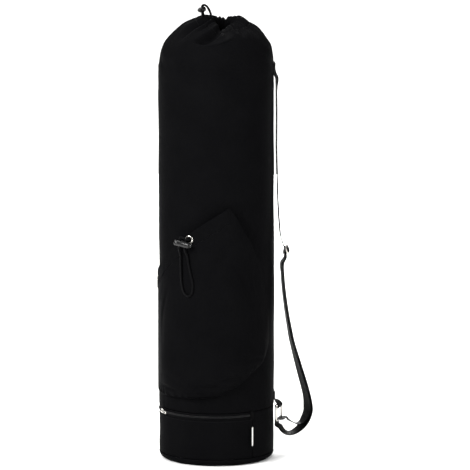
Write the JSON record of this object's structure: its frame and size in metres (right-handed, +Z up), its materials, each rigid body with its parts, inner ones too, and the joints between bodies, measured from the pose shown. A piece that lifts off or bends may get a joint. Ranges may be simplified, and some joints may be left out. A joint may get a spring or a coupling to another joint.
{
  "type": "yoga mat bag",
  "caption": "Tall round drawstring mat bag with a gathered top, draped front pocket, zipped base compartment and webbing shoulder strap.",
  "frame": {"origin": "middle of the flat base, on the surface the bag stands on", "axes": "+Z up along the bag, -Y the front with the pocket, +X the side with the shoulder strap"},
  "size_m": [0.2461, 0.1973, 0.7187],
  "materials": {
    "polyester": "matt black woven polyester",
    "webbing": "black ribbed polyester webbing",
    "zip": "black zip tape with a nylon coil",
    "nickel": "bright nickel plate",
    "cord": "black braided cord",
    "lock": "satin dark grey acetal",
    "label": "white woven satin, plain"
  },
  "bodies": {
    "bag": {"main_body": "polyester", "gathered_hem": "polyester", "base_front_panel": "polyester", "base_back_panel": "polyester", "base_bottom": "polyester", "compartment_floor": "polyester", "pocket_panel": "polyester", "pocket_hem": "polyester", "shoulder_strap": "webbing", "ring_tab": "webbing", "base_zip_end_tab": "webbing", "base_zip_tape": "zip", "base_zip_coil": "zip", "side_zip_tape": "zip", "side_zip_coil": "zip", "base_zip_slider": "nickel", "side_zip_slider": "nickel", "pocket_eyelet": "nickel", "strap_adjuster": "nickel", "strap_ring": "nickel", "pocket_cord": "cord", "top_cord": "cord", "pocket_lock_body": "lock", "top_lock_body": "lock", "side_label": "label"},
    "base_puller": {"base_zip_puller": "nickel"},
    "side_puller": {"side_zip_puller": "nickel"},
    "pocket_button": {"pocket_lock_button": "lock"},
    "top_button": {"top_lock_button": "lock"}
  },
  "joints": [
    {"name": "base_puller_hinge", "type": "hinge", "parent": "bag", "child": "base_puller", "pos_m": [-0.08507, -0.03924, 0.079], "axis": [0, 0, -1], "range_deg": [0, 120]},
    {"name": "side_puller_hinge", "type": "hinge", "parent": "bag", "child": "side_puller", "pos_m": [-0.09228, 0.02301, 0.27775], "axis": [0.2419, 0.9703, 0], "range_deg": [0, 120]},
    {"name": "pocket_button_slide", "type": "slide", "parent": "bag", "child": "pocket_button", "axis": [-0.8615, 0.4908, 0.1302], "range_m": [0, 0.0022], "stiffness_N_per_m": 300, "springref_m": -0.002},
    {"name": "top_button_slide", "type": "slide", "parent": "bag", "child": "top_button", "axis": [0.4512, 0.8924, 0], "range_m": [0, 0.0022], "stiffness_N_per_m": 300, "springref_m": -0.002}
  ]
}
